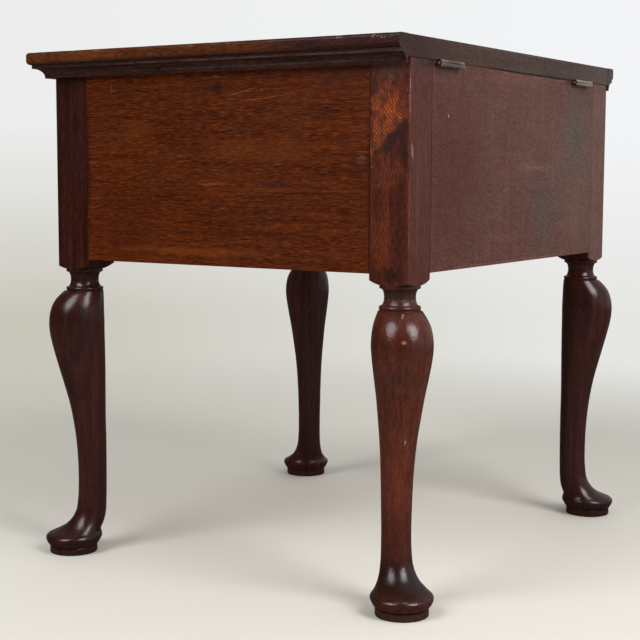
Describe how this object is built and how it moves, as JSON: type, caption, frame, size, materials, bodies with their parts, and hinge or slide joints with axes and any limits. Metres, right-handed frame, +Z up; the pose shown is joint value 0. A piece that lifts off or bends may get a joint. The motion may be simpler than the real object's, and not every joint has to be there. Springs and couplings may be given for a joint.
{
  "type": "storage box",
  "caption": "Wooden storage box on cabriole legs with pad feet; a moulded lid turns on rear butt hinges over an open compartment.",
  "frame": {"origin": "on the floor, below the middle of the carcass, which is also the middle of the feet", "axes": "+X to the object's right end as a person at its front sees it, +Y to the hinged back, +Z up"},
  "size_m": [0.4926, 0.4376, 0.5],
  "materials": {
    "turned_mahogany": "dark red-brown mahogany, turned and shaped, glossy wax polish",
    "mahogany_panel": "mahogany board with the grain along its length, worn satin polish",
    "mahogany_lid": "mahogany, planed and moulded, worn satin polish",
    "oak_lining": "plain oak, planed, unpolished",
    "hinge_steel": "rolled hinge metal, dulled grey-brown",
    "screw_steel": "slotted screw heads, dulled"
  },
  "bodies": {
    "carcass": {"leg_front_left": "turned_mahogany", "leg_front_right": "turned_mahogany", "leg_back_left": "turned_mahogany", "leg_back_right": "turned_mahogany", "front_panel": "mahogany_panel", "back_panel": "mahogany_panel", "left_panel": "mahogany_panel", "right_panel": "mahogany_panel", "front_bearer": "oak_lining", "back_bearer": "oak_lining", "left_bearer": "oak_lining", "right_bearer": "oak_lining", "bottom_board_front": "oak_lining", "bottom_board_middle": "oak_lining", "bottom_board_back": "oak_lining", "front_bearer_screw_1": "screw_steel", "front_bearer_screw_2": "screw_steel", "front_bearer_screw_3": "screw_steel", "back_bearer_screw_1": "screw_steel", "back_bearer_screw_2": "screw_steel", "back_bearer_screw_3": "screw_steel", "left_bearer_screw_1": "screw_steel", "left_bearer_screw_2": "screw_steel", "right_bearer_screw_1": "screw_steel", "right_bearer_screw_2": "screw_steel", "hinge_left_carcass_leaf": "hinge_steel", "hinge_right_carcass_leaf": "hinge_steel", "hinge_left_carcass_screw_1": "screw_steel", "hinge_left_carcass_screw_2": "screw_steel", "hinge_left_carcass_screw_3": "screw_steel", "hinge_right_carcass_screw_1": "screw_steel", "hinge_right_carcass_screw_2": "screw_steel", "hinge_right_carcass_screw_3": "screw_steel", "hinge_left_pin": "hinge_steel", "hinge_right_pin": "hinge_steel"},
    "lid": {"lid_board": "mahogany_lid", "lid_moulding_front": "mahogany_lid", "lid_moulding_left": "mahogany_lid", "lid_moulding_right": "mahogany_lid", "hinge_left_lid_leaf": "hinge_steel", "hinge_right_lid_leaf": "hinge_steel", "hinge_left_lid_screw_1": "screw_steel", "hinge_left_lid_screw_2": "screw_steel", "hinge_left_lid_screw_3": "screw_steel", "hinge_right_lid_screw_1": "screw_steel", "hinge_right_lid_screw_2": "screw_steel", "hinge_right_lid_screw_3": "screw_steel"}
  },
  "joints": [
    {"name": "lid", "type": "hinge", "parent": "carcass", "child": "lid", "pos_m": [0, 0.202, 0.47875], "axis": [-1, 0, 0], "range_deg": [0, 195]}
  ]
}
